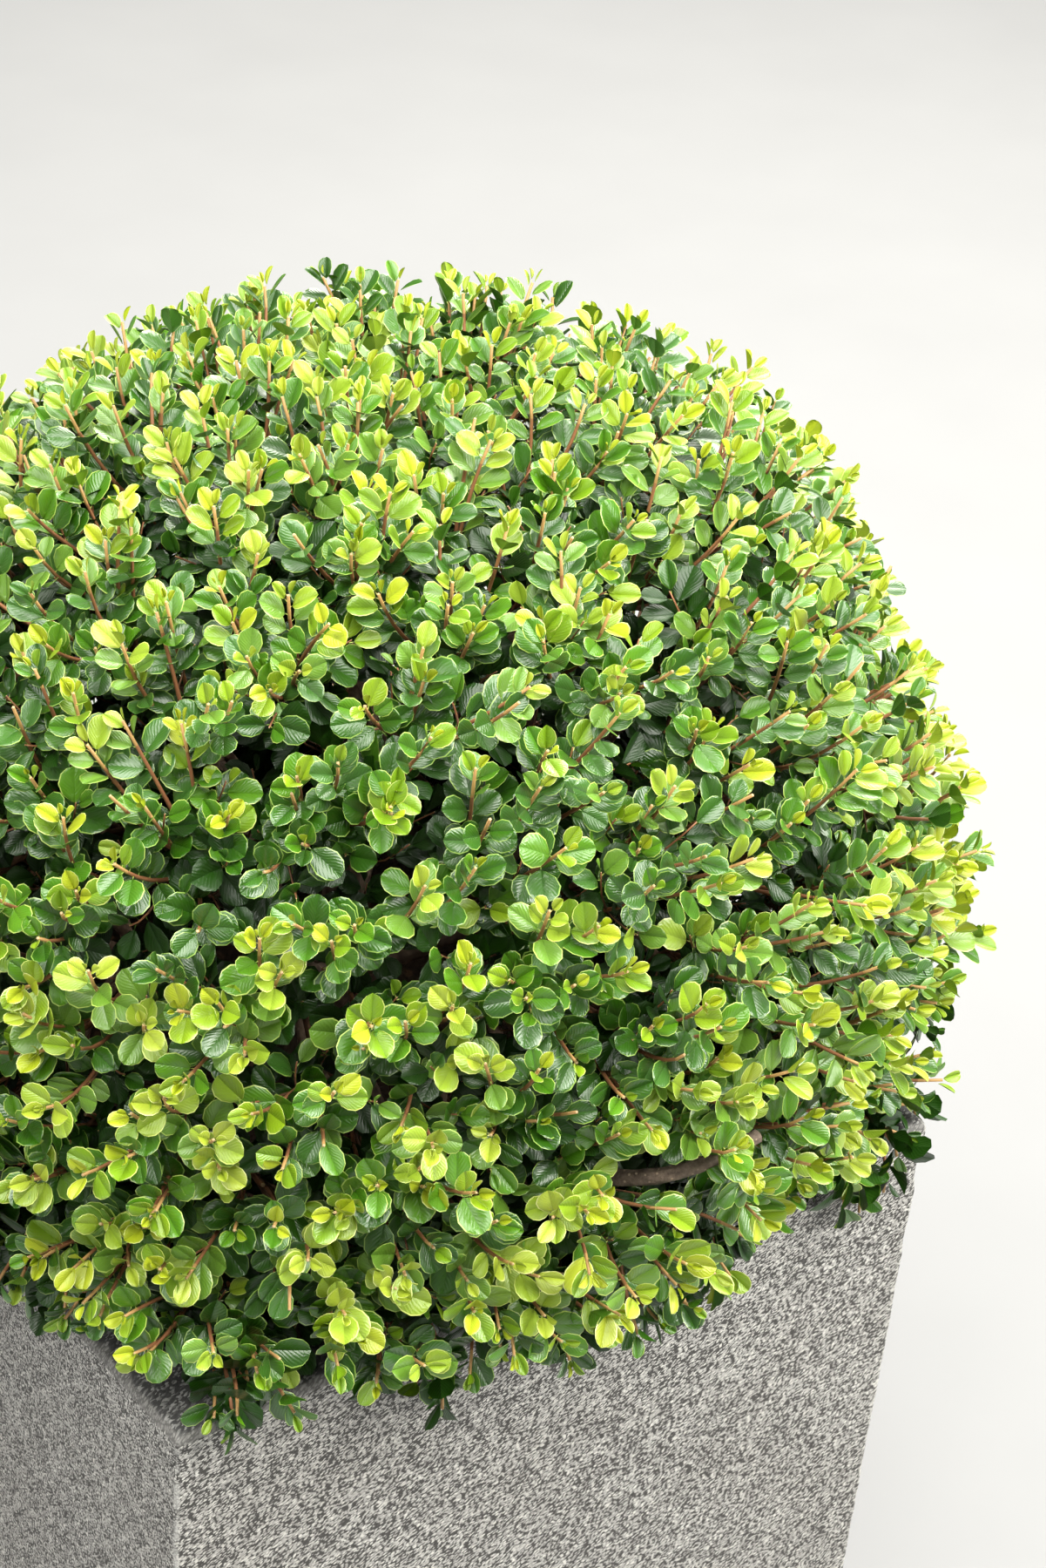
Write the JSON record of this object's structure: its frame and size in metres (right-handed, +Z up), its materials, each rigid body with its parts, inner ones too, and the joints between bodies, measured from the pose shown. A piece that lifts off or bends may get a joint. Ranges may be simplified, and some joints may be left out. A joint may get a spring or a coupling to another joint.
{
  "type": "potted cotoneaster",
  "caption": "Small-leaved cotoneaster clipped to a dense green dome, in a square tapered grey granite planter.",
  "frame": {"origin": "middle of the planter's flat underside", "axes": "+Z up, -Y out of the planter's front face, -X out of its left face"},
  "size_m": [0.6074, 0.6041, 0.8532],
  "materials": {
    "granite": "matte",
    "soil": "matte",
    "bark": "matte",
    "foliage": "satin"
  },
  "bodies": {
    "root": {"planter": "granite", "soil": "soil", "trunk": "bark", "bough_top": "bark", "bough_front": "bark", "bough_front_right": "bark", "bough_right": "bark", "bough_back_right": "bark", "bough_back": "bark", "bough_back_left": "bark", "bough_left": "bark", "bough_front_left": "bark", "foliage_top": "foliage", "foliage_front": "foliage", "foliage_front_right": "foliage", "foliage_right": "foliage", "foliage_back_right": "foliage", "foliage_back": "foliage", "foliage_back_left": "foliage", "foliage_left": "foliage", "foliage_front_left": "foliage"}
  },
  "joints": []
}
